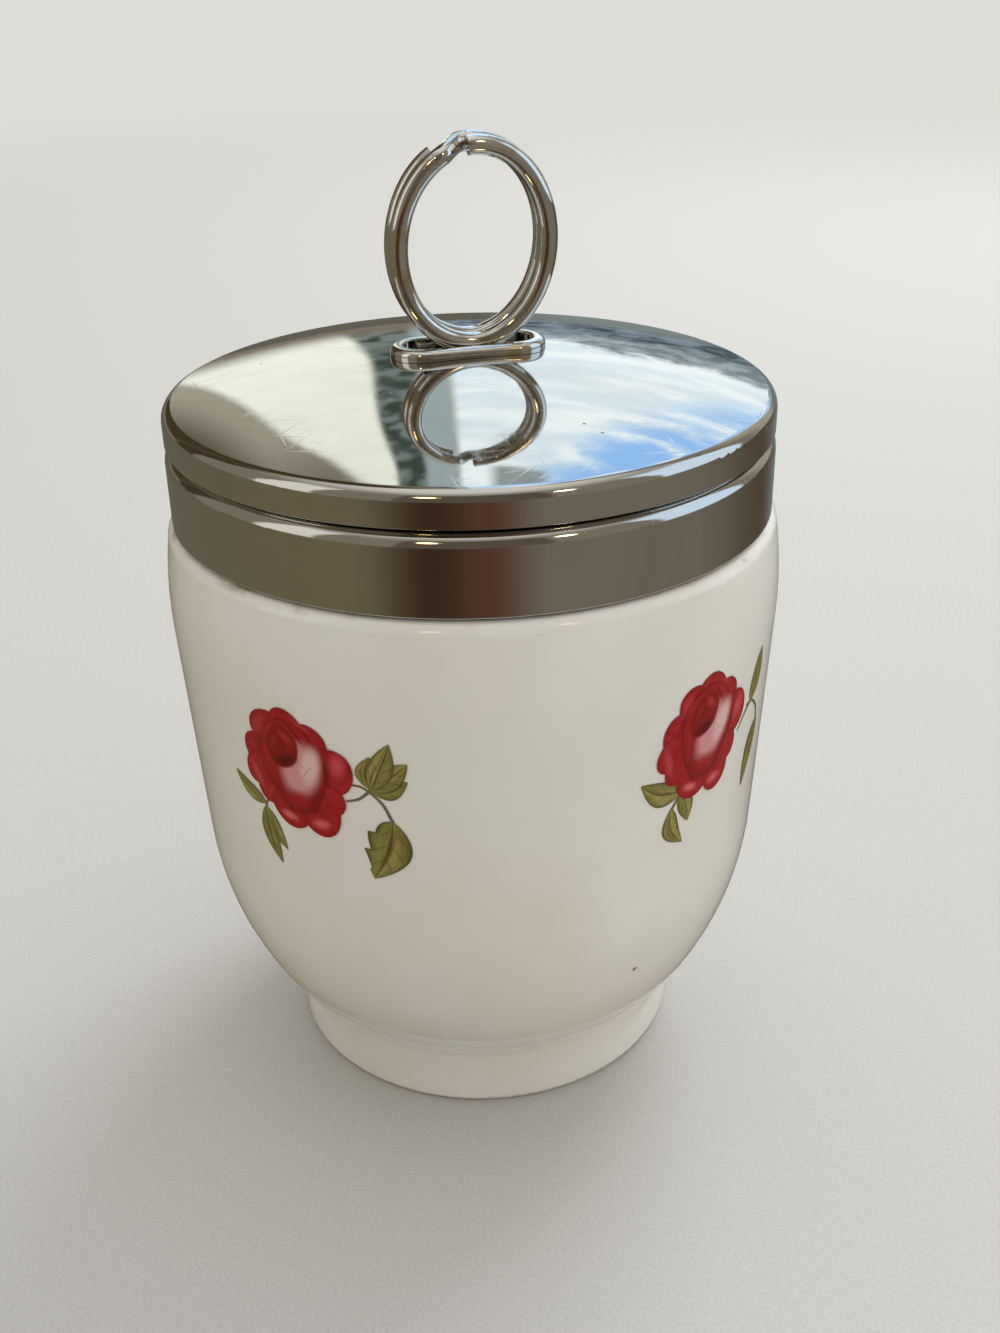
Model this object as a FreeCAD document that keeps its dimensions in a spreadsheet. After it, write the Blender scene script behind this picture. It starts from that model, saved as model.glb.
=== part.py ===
import FreeCAD, Part
import Sketcher
import math
import os

# Porcelain egg coddler: a china cup with a moulded screw neck, closed by a pressed metal lid.
# The origin is at the centre of the foot ring's base, +Z up, millimetres.
# The lid has three turned pressings (dome cap, screw band, threaded ring) about the Z axis,
# and a lifting ring of round wire that stands in an oblong socket on the dome.

doc = FreeCAD.newDocument("egg_coddler")
vector = FreeCAD.Vector

# ---------------------------------------------------------------- driving dimensions

SIZES = [
    # china cup
    ("cup_height", 74.45, "floor to the top of the rim"),
    ("neck_radius", 26.6, "outside of the plain neck, at the root of its thread"),
    ("neck_height", 12.25, "shoulder ledge to the top of the rim"),
    ("neck_wall", 2.4, "china at the neck"),
    ("rim_round", 1.2, "rounding of the rim's outer edge"),
    ("rim_land", 0.2, "flat top of the rim, between its two roundings"),
    ("shoulder_overhang", 0.6, "china outside the lid's skirt at the shoulder"),
    ("shoulder_round", 1.3, "rounding of the shoulder"),
    ("belly_swell", 0.5, "widest china outside the shoulder"),
    ("widest_drop", 10.6, "ledge down to the widest place"),
    ("belly_taper", 1.35, "widest place to the foot of the straight wall"),
    ("belly_base", 27.6, "height where the straight wall starts"),
    ("body_wall", 5.1, "china at the widest place"),
    ("base_thinning", 1.1, "how much thinner the china is where the straight wall starts"),
    ("neck_root_round", 0.8, "rounding between the ledge and the neck"),
    ("floor_height", 10.0, "underside of the foot to the cup's inside floor"),
    ("floor_flat", 10.0, "radius of the flat inside floor"),
    ("foot_radius", 21.7, "outside of the foot ring"),
    ("foot_flare", 0.25, "how much the foot ring widens upwards"),
    ("foot_height", 6.8, "foot ring up to the crease under the body"),
    ("foot_width", 2.7, "width of the foot ring's base"),
    ("foot_round", 0.8, "rounding of the foot ring's edges"),
    ("foot_recess", 4.6, "depth of the hollow under the foot"),
    ("crease_step", 1.1, "width and height of the crease above the foot"),
    # screw thread
    ("thread_lead", 3.6, "rise in one turn"),
    ("thread_turns", 1.25, "turns of the china ridge"),
    ("thread_depth", 1.1, "height of the ridge above the neck"),
    ("thread_base", 2.2, "width of the ridge at its root"),
    ("thread_crest", 0.9, "width of the ridge at its crest"),
    ("thread_drop", 9.7, "rim down to the middle of the ridge's lower end"),
    ("thread_clearance", 0.25, "running clearance of the thread"),
    ("thread_bury", 0.3, "overlap of the thread's section with what it is joined to or cut from"),
    ("groove_run_in", 2, "whole turns of the ring's groove below the ridge's foot"),
    ("groove_turns", 5.75, "turns of the groove, enough to run out of both ends of the ring"),
    ("neck_clearance", 0.35, "threaded ring to the plain neck"),
    # lid pressings
    ("ring_wall", 0.5, "threaded ring outside its groove"),
    ("solder_gap", 0.03, "soldered joint"),
    ("band_sheet", 0.5, "sheet of the screw band"),
    ("cap_sheet", 0.6, "sheet of the dome cap"),
    ("turning_gap", 0.3, "cap to the band's neck, so that the band can turn"),
    ("flange_width", 0.65, "band's flange that the cap's curl holds"),
    ("flange_play", 0.2, "cap's curl to the flange above it"),
    ("flange_gap", 0.25, "flange's edge to the cap's wall"),
    ("seam_gap", 0.3, "seam between the cap and the band"),
    ("skirt_step", 0.1, "band's skirt outside the cap"),
    ("shoulder_land", 0.1, "flat top of the band, between its rounded shoulder and its neck"),
    ("band_edge", 0.2, "rounding of the band's lower edge"),
    ("band_floor_gap", 0.3, "band's lower edge above the china ledge"),
    ("ring_floor_gap", 0.9, "threaded ring above the china ledge"),
    ("rim_seat", 0.05, "inside of the dome above the rim"),
    ("cap_height", 3.6, "dome's crease down to the cap's lower edge"),
    ("corner_height", 1.3, "height of the cap's rolled corner"),
    ("corner_width", 1.0, "width of the cap's rolled corner"),
    ("cap_edge", 0.25, "rounding of the cap's lower edge"),
    ("dome_rise", 3.6, "dome's crease up to its top"),
    # lifting ring and its socket
    ("wire_diameter", 1.87, "wire of the lifting ring"),
    ("turn_gap", 0.04, "between the ring's two turns"),
    ("ring_width", 16.6, "outside width of the lifting ring"),
    ("ring_height", 20.5, "outside height of the lifting ring"),
    ("ring_seat", 0.12, "ring above the top of the dome"),
    ("ring_turn", 14.0, "degrees that the ring's plane is turned about Z"),
    ("ring_lean", 4.0, "degrees that the ring leans forward"),
    ("ring_tilt", 2.3, "degrees that the ring leans to its right"),
    ("step_angle", 199.0, "degrees from the ring's foot, up its right side, to the wire's step"),
    ("step_spread", 21.0, "degrees that the step to the second turn takes"),
    ("end_gap", 1.0, "degrees from the step to each of the wire's ends"),
    ("socket_length", 15.6, "outside length of the socket"),
    ("socket_clearance", 0.26, "ring to the side of the socket's opening"),
    ("socket_wall", 1.25, "wall of the socket"),
    ("socket_height", 0.95, "socket above the top of the dome"),
    ("socket_sink", 1.2, "socket below the top of the dome, before it is fitted to it"),
    ("socket_round", 0.7, "rounding of the socket's outer rim"),
    ("socket_lip", 0.3, "rounding of the socket's inner rim"),
    ("socket_turn", 13.0, "degrees that the socket is turned about Z"),
]

# Places worked out from the driving dimensions, as spreadsheet formulas.
PLACES = [
    # the china neck carries the lid, so radii grow outwards from it
    ("thread_radius", "Sizes.neck_radius + Sizes.thread_depth"),
    ("mouth_radius", "Sizes.neck_radius - Sizes.neck_wall"),
    ("groove_radius", "thread_radius + Sizes.thread_clearance"),
    ("ring_bore", "Sizes.neck_radius + Sizes.neck_clearance"),
    ("ring_outside", "groove_radius + Sizes.ring_wall"),
    ("band_bore", "ring_outside + Sizes.solder_gap"),
    ("band_neck", "band_bore + Sizes.band_sheet"),
    ("flange_radius", "band_neck + Sizes.flange_width"),
    ("curl_radius", "band_neck + Sizes.turning_gap"),
    ("cap_bore", "flange_radius + Sizes.flange_gap"),
    ("cap_radius", "cap_bore + Sizes.cap_sheet"),
    ("cap_foot_radius", "cap_radius - Sizes.cap_edge"),
    ("crease_radius", "cap_radius - Sizes.corner_width"),
    ("corner_radius", "(Sizes.corner_width ^ 2 + Sizes.corner_height ^ 2) / (2 * Sizes.corner_width)"),
    ("corner_centre", "cap_radius - corner_radius"),
    ("corner_share", "1 - Sizes.cap_sheet / corner_radius"),
    ("inner_crease_radius", "corner_centre + (crease_radius - corner_centre) * corner_share"),
    ("skirt_radius", "cap_radius + Sizes.skirt_step"),
    ("skirt_bore", "skirt_radius - Sizes.band_sheet"),
    ("skirt_foot_radius", "skirt_radius - Sizes.band_edge"),
    ("shoulder_neck", "band_neck + Sizes.shoulder_land"),
    ("band_shoulder", "skirt_radius - shoulder_neck"),
    ("shoulder_radius", "skirt_radius + Sizes.shoulder_overhang"),
    ("ledge_radius", "shoulder_radius - Sizes.shoulder_round"),
    ("widest_radius", "shoulder_radius + Sizes.belly_swell"),
    ("belly_radius", "widest_radius - Sizes.belly_taper"),
    ("inner_widest", "widest_radius - Sizes.body_wall"),
    ("inner_belly", "belly_radius - Sizes.body_wall + Sizes.base_thinning"),
    # china heights
    ("ledge_z", "Sizes.cup_height - Sizes.neck_height"),
    ("shoulder_z", "ledge_z - Sizes.shoulder_round"),
    ("widest_z", "ledge_z - Sizes.widest_drop"),
    ("neck_foot_z", "ledge_z + Sizes.neck_root_round"),
    ("neck_foot_radius", "Sizes.neck_radius + Sizes.neck_root_round"),
    ("rim_edge_z", "Sizes.cup_height - Sizes.rim_round"),
    ("rim_edge_radius", "Sizes.neck_radius - Sizes.rim_round"),
    ("lip_round", "Sizes.neck_wall - Sizes.rim_round - Sizes.rim_land"),
    ("lip_edge_z", "Sizes.cup_height - lip_round"),
    ("lip_edge_radius", "mouth_radius + lip_round"),
    ("foot_top_radius", "Sizes.foot_radius + Sizes.foot_flare"),
    ("crease_top_radius", "foot_top_radius + Sizes.crease_step"),
    ("crease_top_z", "Sizes.foot_height + Sizes.crease_step"),
    ("foot_outer_land", "Sizes.foot_radius - Sizes.foot_round"),
    ("foot_bore", "Sizes.foot_radius - Sizes.foot_width"),
    ("foot_inner_land", "foot_bore + Sizes.foot_round"),
    ("recess_radius", "foot_bore - Sizes.foot_round"),
    # lid heights, from the rim that the inside of the dome rests on
    ("dome_radius", "(crease_radius ^ 2 + Sizes.dome_rise ^ 2) / (2 * Sizes.dome_rise)"),
    ("inner_dome_radius", "dome_radius - Sizes.cap_sheet"),
    ("rim_level", "Sizes.dome_rise - dome_radius + sqrt(inner_dome_radius ^ 2 - rim_edge_radius ^ 2)"),
    ("crease_z", "Sizes.cup_height + Sizes.rim_seat - rim_level"),
    ("apex_z", "crease_z + Sizes.dome_rise"),
    ("cap_wall_z", "crease_z - Sizes.corner_height"),
    ("cap_foot_z", "crease_z - Sizes.cap_height"),
    ("cap_edge_z", "cap_foot_z + Sizes.cap_edge"),
    ("curl_top_z", "cap_foot_z + Sizes.cap_sheet"),
    ("dome_centre_z", "apex_z - dome_radius"),
    ("inner_apex_z", "apex_z - Sizes.cap_sheet"),
    ("inner_crease_z", "dome_centre_z + sqrt(inner_dome_radius ^ 2 - inner_crease_radius ^ 2)"),
    ("band_top_z", "cap_foot_z - Sizes.seam_gap"),
    ("skirt_top_z", "band_top_z - band_shoulder"),
    ("flange_foot_z", "curl_top_z + Sizes.flange_play"),
    ("flange_top_z", "flange_foot_z + Sizes.band_sheet"),
    ("inner_shoulder_z", "band_top_z - Sizes.band_sheet"),
    ("band_foot_z", "ledge_z + Sizes.band_floor_gap"),
    ("band_edge_z", "band_foot_z + Sizes.band_edge"),
    ("ring_foot_z", "ledge_z + Sizes.ring_floor_gap"),
    # lifting ring and socket
    ("wire_radius", "Sizes.wire_diameter / 2"),
    ("turn_offset", "(Sizes.wire_diameter + Sizes.turn_gap) / 2"),
    ("ring_half_width", "(Sizes.ring_width - Sizes.wire_diameter) / 2"),
    ("ring_half_height", "(Sizes.ring_height - Sizes.wire_diameter) / 2"),
    ("ring_centre_z", "apex_z + Sizes.ring_seat + Sizes.ring_height / 2"),
    ("socket_foot_z", "apex_z - Sizes.socket_sink"),
    ("socket_depth", "Sizes.socket_height + Sizes.socket_sink"),
    ("slot_end", "turn_offset + wire_radius + Sizes.socket_clearance"),
    ("socket_end", "slot_end + Sizes.socket_wall"),
    ("socket_straight", "Sizes.socket_length - 2 * socket_end"),
    ("socket_fit_radius", "dome_radius + Sizes.solder_gap"),
    # screw thread
    ("ridge_root", "Sizes.neck_radius - Sizes.thread_bury"),
    ("ridge_base_low", "ridge_z - Sizes.thread_base / 2"),
    ("ridge_base_high", "ridge_z + Sizes.thread_base / 2"),
    ("ridge_crest_low", "ridge_z - Sizes.thread_crest / 2"),
    ("ridge_crest_high", "ridge_z + Sizes.thread_crest / 2"),
    ("groove_root", "ring_bore - Sizes.thread_bury"),
    ("groove_base_low", "groove_z - Sizes.thread_base / 2 - Sizes.thread_clearance"),
    ("groove_base_high", "groove_z + Sizes.thread_base / 2 + Sizes.thread_clearance"),
    ("groove_crest_low", "groove_z - Sizes.thread_crest / 2 - Sizes.thread_clearance"),
    ("groove_crest_high", "groove_z + Sizes.thread_crest / 2 + Sizes.thread_clearance"),
    ("ridge_z", "Sizes.cup_height - Sizes.thread_drop"),
    ("ridge_height", "Sizes.thread_lead * Sizes.thread_turns"),
    ("groove_z", "ridge_z - Sizes.thread_lead * Sizes.groove_run_in"),
    ("groove_height", "Sizes.thread_lead * Sizes.groove_turns"),
]


def make_sheet(name, rows):
    """Write rows of (alias, content, ...) into a spreadsheet."""
    sheet = doc.addObject("Spreadsheet::Sheet", name)
    for number, row in enumerate(rows, start=1):
        sheet.set("A%d" % number, row[0])
        sheet.set("B%d" % number, str(row[1]))
        sheet.setAlias("B%d" % number, row[0])
        if len(row) > 2:
            sheet.set("C%d" % number, row[2])
    return sheet


sizes = make_sheet("Sizes", SIZES)
doc.recompute()
places = make_sheet("Places", [(name, "=" + formula) for name, formula in PLACES])
doc.recompute()
SIZE_NAMES = {row[0] for row in SIZES}


def cell(name):
    """The expression that reads a named cell."""
    return ("Sizes." if name in SIZE_NAMES else "Places.") + name


def value(name):
    """A named cell's number, in millimetres or degrees."""
    return float((sizes if name in SIZE_NAMES else places).get(name))


# ---------------------------------------------------------------- turned pieces

def origin_feature(body, role):
    """One of the body's own origin planes or axes."""
    return next(item for item in body.Origin.OriginFeatures if item.Role == role)


def half_plane_sketch(body, name):
    """A sketch on the XZ plane, whose x is the radius and whose y is the height."""
    sketch = body.newObject("Sketcher::SketchObject", name)
    sketch.AttachmentSupport = [(origin_feature(body, "XZ_Plane"), "")]
    sketch.MapMode = "FlatFace"
    return sketch


def arc_centre(start, end, style, before, after):
    """Centre of an outline's arc, from its radius or from the straight edge it is tangent to."""
    chord = end - start
    if style[0] == "radius":
        radius = value(style[1])
        middle = (start + end) * 0.5
        rise = math.sqrt(max(radius ** 2 - chord.Length ** 2 / 4, 0.0))
        left = vector(-chord.y, chord.x, 0).normalize()
        return middle + left * (rise * style[2])
    if style[0] == "on axis":
        middle = (start + end) * 0.5
        return vector(0, middle.y + middle.x * chord.x / chord.y, 0)
    at, along = (end, after - end) if style[0] == "tangent next" else (start, start - before)
    normal = vector(-along.y, along.x, 0).normalize()
    other = start if at is end else end
    reach = (other - at).Length ** 2 / (2 * (other - at).dot(normal))
    return at + normal * reach


def add_outline(sketch, corners):
    """Draw a closed outline. A corner is (radius cell, height cell, style of the edge to the next).

    A cell of None is a place on the axis or on the floor. A style is None for a straight edge;
    ("radius", cell, side) for an arc whose centre lies on that side of its chord;
    ("tangent next",) or ("tangent last",) for an arc tangent to the straight edge after or
    before it; or ("on axis",) for an arc whose centre is on the Z axis.
    """
    count = len(corners)
    points = [vector(value(r) if r else 0.0, value(z) if z else 0.0, 0) for r, z, style in corners]
    for index, (r, z, style) in enumerate(corners):
        start, end = points[index], points[(index + 1) % count]
        if style is None:
            sketch.addGeometry(Part.LineSegment(start, end), False)
            continue
        centre = arc_centre(start, end, style, points[index - 1], points[(index + 2) % count])
        circle = Part.Circle(centre, vector(0, 0, 1), (start - centre).Length)
        turn = (start - centre).cross(end - centre).z
        first, last = (start, end) if turn > 0 else (end, start)
        arc = Part.ArcOfCircle(circle, circle.parameter(first), circle.parameter(last))
        sketch.addGeometry(arc, False)
    ends = [edge_ends(sketch.Geometry[index], points[index]) for index in range(count)]
    for index, (r, z, style) in enumerate(corners):
        following = (index + 1) % count
        smooth = is_tangent(style, "tangent next") or is_tangent(corners[following][2], "tangent last")
        kind = "Tangent" if smooth else "Coincident"
        joint = Sketcher.Constraint(kind, index, ends[index][1], following, ends[following][0])
        sketch.addConstraint(joint)
        place_corner(sketch, index, ends[index][0], r, z)
        if style and style[0] == "radius":
            number = sketch.addConstraint(Sketcher.Constraint("Radius", index, value(style[1])))
            sketch.setExpression("Constraints[%d]" % number, cell(style[1]))
        if style and style[0] == "on axis":
            sketch.addConstraint(Sketcher.Constraint("PointOnObject", index, 3, -2))


def is_tangent(style, kind):
    """Whether an edge's style is this kind of tangent arc."""
    return style is not None and style[0] == kind


def edge_ends(edge, start):
    """Sketcher's vertex numbers of an edge's ends, in the outline's order."""
    forward = (edge.StartPoint - start).Length <= (edge.EndPoint - start).Length
    return (1, 2) if forward else (2, 1)


def place_corner(sketch, edge, end, r, z):
    """Bind a corner's radius and height to their cells."""
    if r:
        number = sketch.addConstraint(Sketcher.Constraint("DistanceX", -1, 1, edge, end, value(r)))
        sketch.setExpression("Constraints[%d]" % number, cell(r))
    else:
        sketch.addConstraint(Sketcher.Constraint("PointOnObject", edge, end, -2))
    if z:
        number = sketch.addConstraint(Sketcher.Constraint("DistanceY", -1, 1, edge, end, value(z)))
        sketch.setExpression("Constraints[%d]" % number, cell(z))
    else:
        sketch.addConstraint(Sketcher.Constraint("PointOnObject", edge, end, -1))


def turned_body(name, corners):
    """A body made by turning an outline round the Z axis."""
    body = doc.addObject("PartDesign::Body", name)
    sketch = half_plane_sketch(body, name + "_section")
    add_outline(sketch, corners)
    turning = body.newObject("PartDesign::Revolution", name + "_turned")
    turning.Profile = sketch
    turning.ReferenceAxis = (sketch, ["V_Axis"])
    turning.Angle = 360
    doc.recompute()
    return body


# Side of an arc's chord that its centre lies on: left of it rounds a corner, right hollows it.
ROUND_OUT = 1
ROUND_IN = -1

porcelain_cup = turned_body("porcelain_cup", [
    (None, "foot_recess", None),
    ("recess_radius", "foot_recess", None),
    ("foot_bore", "foot_round", ("radius", "foot_round", ROUND_OUT)),
    ("foot_inner_land", None, None),
    ("foot_outer_land", None, ("radius", "foot_round", ROUND_OUT)),
    ("foot_radius", "foot_round", None),
    ("foot_top_radius", "foot_height", ("radius", "crease_step", ROUND_IN)),
    ("crease_top_radius", "crease_top_z", ("tangent next",)),
    ("belly_radius", "belly_base", None),
    ("widest_radius", "widest_z", ("tangent last",)),
    ("shoulder_radius", "shoulder_z", ("radius", "shoulder_round", ROUND_OUT)),
    ("ledge_radius", "ledge_z", None),
    ("neck_foot_radius", "ledge_z", ("radius", "neck_root_round", ROUND_IN)),
    ("neck_radius", "neck_foot_z", None),
    ("neck_radius", "rim_edge_z", ("radius", "rim_round", ROUND_OUT)),
    ("rim_edge_radius", "cup_height", None),
    ("lip_edge_radius", "cup_height", ("radius", "lip_round", ROUND_OUT)),
    ("mouth_radius", "lip_edge_z", None),
    ("mouth_radius", "ledge_z", None),
    ("inner_widest", "widest_z", None),
    ("inner_belly", "belly_base", ("tangent last",)),
    ("floor_flat", "floor_height", None),
    (None, "floor_height", None),
])

lid_dome = turned_body("lid_dome", [
    (None, "inner_apex_z", ("on axis",)),
    ("inner_crease_radius", "inner_crease_z", ("tangent next",)),
    ("cap_bore", "cap_wall_z", None),
    ("cap_bore", "curl_top_z", None),
    ("curl_radius", "curl_top_z", None),
    ("curl_radius", "cap_foot_z", None),
    ("cap_foot_radius", "cap_foot_z", ("radius", "cap_edge", ROUND_OUT)),
    ("cap_radius", "cap_edge_z", None),
    ("cap_radius", "cap_wall_z", ("tangent last",)),
    ("crease_radius", "crease_z", ("on axis",)),
    (None, "apex_z", None),
])

screw_band = turned_body("screw_band", [
    ("skirt_bore", "band_foot_z", None),
    ("skirt_foot_radius", "band_foot_z", ("radius", "band_edge", ROUND_OUT)),
    ("skirt_radius", "band_edge_z", None),
    ("skirt_radius", "skirt_top_z", ("radius", "band_shoulder", ROUND_OUT)),
    ("shoulder_neck", "band_top_z", None),
    ("band_neck", "band_top_z", None),
    ("band_neck", "flange_foot_z", None),
    ("flange_radius", "flange_foot_z", None),
    ("flange_radius", "flange_top_z", None),
    ("band_bore", "flange_top_z", None),
    ("band_bore", "inner_shoulder_z", None),
    ("shoulder_neck", "inner_shoulder_z", ("tangent next",)),
    ("skirt_bore", "skirt_top_z", None),
])

thread_ring = turned_body("thread_ring", [
    ("ring_bore", "ring_foot_z", None),
    ("ring_outside", "ring_foot_z", None),
    ("ring_outside", "flange_top_z", None),
    ("ring_bore", "flange_top_z", None),
])


# ---------------------------------------------------------------- screw thread

def helical_feature(body, kind, name, root, crest, foot):
    """Sweep a thread's four-cornered section up a right-handed helix round Z."""
    sketch = half_plane_sketch(body, name + "_section")
    add_outline(sketch, [
        (root, foot + "_base_low", None),
        (crest, foot + "_crest_low", None),
        (crest, foot + "_crest_high", None),
        (root, foot + "_base_high", None),
    ])
    doc.recompute()
    thread = body.newObject("PartDesign::" + kind, name)
    thread.Profile = sketch
    thread.ReferenceAxis = (sketch, ["V_Axis"])
    thread.Mode = "pitch-height-angle"
    thread.setExpression("Pitch", "Sizes.thread_lead")
    thread.setExpression("Height", "Places." + foot + "_height")
    doc.recompute()
    return thread


helical_feature(porcelain_cup, "AdditiveHelix", "neck_thread", "ridge_root", "thread_radius", "ridge")
helical_feature(thread_ring, "SubtractiveHelix", "ring_thread", "groove_root", "groove_radius", "groove")


# ---------------------------------------------------------------- socket on the dome

SLOT_EDGES = 4
SAME_PLACE = 1e-4


def slot_sketch(body, name, end_cell):
    """A round-ended slot along X at the socket's foot, of the socket's straight length."""
    sketch = body.newObject("Sketcher::SketchObject", name)
    sketch.AttachmentSupport = [(origin_feature(body, "XY_Plane"), "")]
    sketch.MapMode = "FlatFace"
    sketch.setExpression("AttachmentOffset.Base.z", cell("socket_foot_z"))
    half, end = value("socket_straight") / 2, value(end_cell)
    up = vector(0, 0, 1)
    sketch.addGeometry([
        Part.LineSegment(vector(-half, -end, 0), vector(half, -end, 0)),
        Part.ArcOfCircle(Part.Circle(vector(half, 0, 0), up, end), -math.pi / 2, math.pi / 2),
        Part.LineSegment(vector(half, end, 0), vector(-half, end, 0)),
        Part.ArcOfCircle(Part.Circle(vector(-half, 0, 0), up, end), math.pi / 2, 3 * math.pi / 2),
    ], False)
    for edge in range(SLOT_EDGES):
        sketch.addConstraint(Sketcher.Constraint("Tangent", edge, 2, (edge + 1) % SLOT_EDGES, 1))
    sketch.addConstraint(Sketcher.Constraint("Horizontal", 0))
    sketch.addConstraint(Sketcher.Constraint("Symmetric", 1, 3, 3, 3, -1, 1))
    number = sketch.addConstraint(Sketcher.Constraint("DistanceX", 3, 3, 1, 3, 2 * half))
    sketch.setExpression("Constraints[%d]" % number, cell("socket_straight"))
    number = sketch.addConstraint(Sketcher.Constraint("Radius", 1, end))
    sketch.setExpression("Constraints[%d]" % number, cell(end_cell))
    return sketch


def rim_edges(shape, height, end_radius):
    """Names of the edges of a slot's rim: those at this height whose round ends have this radius."""
    names = []
    for number, edge in enumerate(shape.Edges, start=1):
        box = edge.BoundBox
        level = abs(box.ZMin - height) < SAME_PLACE and abs(box.ZMax - height) < SAME_PLACE
        if level and abs(max(abs(box.YMin), abs(box.YMax)) - end_radius) < SAME_PLACE:
            names.append("Edge%d" % number)
    return names


def rounded_rim(body, base, name, end_cell, size_cell):
    """Round one rim of the socket's top."""
    top = value("socket_foot_z") + value("socket_depth")
    rounding = body.newObject("PartDesign::Fillet", name)
    rounding.Base = (base, rim_edges(base.Shape, top, value(end_cell)))
    rounding.setExpression("Radius", cell(size_cell))
    doc.recompute()
    return rounding


socket_blank = doc.addObject("PartDesign::Body", "socket_blank")
outer_slot = slot_sketch(socket_blank, "socket_outside", "socket_end")
collar = socket_blank.newObject("PartDesign::Pad", "socket_collar")
collar.Profile = outer_slot
collar.setExpression("Length", cell("socket_depth"))
inner_slot = slot_sketch(socket_blank, "socket_inside", "slot_end")
doc.recompute()
opening = socket_blank.newObject("PartDesign::Pocket", "socket_opening")
opening.Profile = inner_slot
opening.Type = "ThroughAll"
opening.Reversed = True
doc.recompute()
outer_rim = rounded_rim(socket_blank, opening, "socket_outer_rim", "socket_end", "socket_round")
rounded_rim(socket_blank, outer_rim, "socket_inner_rim", "slot_end", "socket_lip")

dome_ball = doc.addObject("Part::Sphere", "dome_ball")
dome_ball.setExpression("Radius", cell("socket_fit_radius"))
dome_ball.setExpression("Placement.Base.z", cell("dome_centre_z"))
ring_socket = doc.addObject("Part::Cut", "ring_socket")
ring_socket.Base = socket_blank
ring_socket.Tool = dome_ball
ring_socket.setExpression("Placement.Rotation.Angle", cell("socket_turn"))
doc.recompute()


# ---------------------------------------------------------------- lifting ring

FULL_TURN = 360.0
PATH_STEP = 6.0  # degrees between the points that the wire's centre line is drawn through


def wire_point(angle):
    """The wire's centre line: an oval of two turns side by side, before it is turned and leant.

    The angle counts from the ring's foot up its right side. The first turn lies at the back;
    the wire steps to the front once it has passed the step angle again.
    """
    passed = (angle - value("step_angle") - FULL_TURN) / value("step_spread") + 0.5
    share = min(max(passed, 0.0), 1.0)
    side = math.cos(math.pi * share)
    turn = math.radians(angle)
    across = value("ring_half_width") * math.sin(turn)
    up = -value("ring_half_height") * math.cos(turn)
    return vector(across, side * value("turn_offset"), up)


def wire_angles():
    """Evenly spaced angles from the wire's first end to its last."""
    margin = value("step_spread") / 2 + value("end_gap")
    first = value("step_angle") + margin
    last = value("step_angle") + 2 * FULL_TURN - margin
    count = math.ceil((last - first) / PATH_STEP)
    return [first + (last - first) * index / count for index in range(count + 1)]


def swept_wire():
    """The ring's wire, swept along its centre line."""
    path = Part.BSplineCurve()
    path.interpolate([wire_point(angle) for angle in wire_angles()])
    spine = Part.Wire([path.toShape()])
    start = path.value(path.FirstParameter)
    direction = path.tangent(path.FirstParameter)[0]
    section = Part.Wire([Part.makeCircle(value("wire_radius"), start, direction)])
    return spine.makePipeShell([section], True, True)


lifting_ring = doc.addObject("Part::Feature", "lifting_ring")
lifting_ring.Shape = swept_wire()
turn_about_z = FreeCAD.Rotation(vector(0, 0, 1), value("ring_turn"))
lean_forward = FreeCAD.Rotation(vector(1, 0, 0), value("ring_lean"))
tilt_right = FreeCAD.Rotation(vector(0, 1, 0), value("ring_tilt"))
ring_foot = vector(0, 0, -value("ring_height") / 2)
ring_rotation = turn_about_z * lean_forward * tilt_right
ring_base = vector(0, 0, value("ring_centre_z")) + ring_foot - ring_rotation.multVec(ring_foot)
lifting_ring.Placement = FreeCAD.Placement(ring_base, ring_rotation)
doc.recompute()


# ---------------------------------------------------------------- checks and export

PIECES = [porcelain_cup, lid_dome, screw_band, thread_ring, ring_socket, lifting_ring]

for item in doc.Objects:
    if "Invalid" in item.State or "Error" in item.State:
        raise RuntimeError("%s failed: %s" % (item.Name, item.State))
for piece in PIECES:
    shape = piece.Shape
    if shape.isNull() or not shape.isValid() or len(shape.Solids) != 1:
        raise RuntimeError("%s is not one valid solid" % piece.Label)

os.makedirs("parts", exist_ok=True)
for piece in PIECES:
    piece.Shape.exportStep(os.path.join("parts", piece.Label + ".step"))
    print("%s: %.1f mm3" % (piece.Label, piece.Shape.Volume))
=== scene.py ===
import math
import random

import bpy
from mathutils import Matrix, Vector


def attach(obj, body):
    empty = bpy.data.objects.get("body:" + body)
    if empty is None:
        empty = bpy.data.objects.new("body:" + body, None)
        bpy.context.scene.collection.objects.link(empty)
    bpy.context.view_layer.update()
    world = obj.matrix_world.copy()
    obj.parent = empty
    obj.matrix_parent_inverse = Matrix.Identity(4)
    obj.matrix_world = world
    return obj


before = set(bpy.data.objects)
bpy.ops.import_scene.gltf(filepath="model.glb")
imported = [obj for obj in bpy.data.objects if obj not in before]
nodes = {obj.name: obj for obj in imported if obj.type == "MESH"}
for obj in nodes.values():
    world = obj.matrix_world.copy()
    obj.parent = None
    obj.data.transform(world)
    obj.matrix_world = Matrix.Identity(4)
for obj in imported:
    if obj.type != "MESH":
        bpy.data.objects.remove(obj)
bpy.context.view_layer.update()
MM = 0.001


def new_object(name, data):
    """An object with this data, linked into the scene."""
    made = bpy.data.objects.new(name, data)
    bpy.context.scene.collection.objects.link(made)
    return made


# ---------------------------------------------------------------- camera

PHOTO_HEIGHT = 1333
FOCAL_PIXELS = 1500
SENSOR_WIDTH = 36.0
CAMERA_PLACE = Vector((-0.29, -146.57, 117.06)) * MM
CAMERA_PITCH, CAMERA_YAW, CAMERA_ROLL = 0.471, 0.019, -0.020


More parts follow.
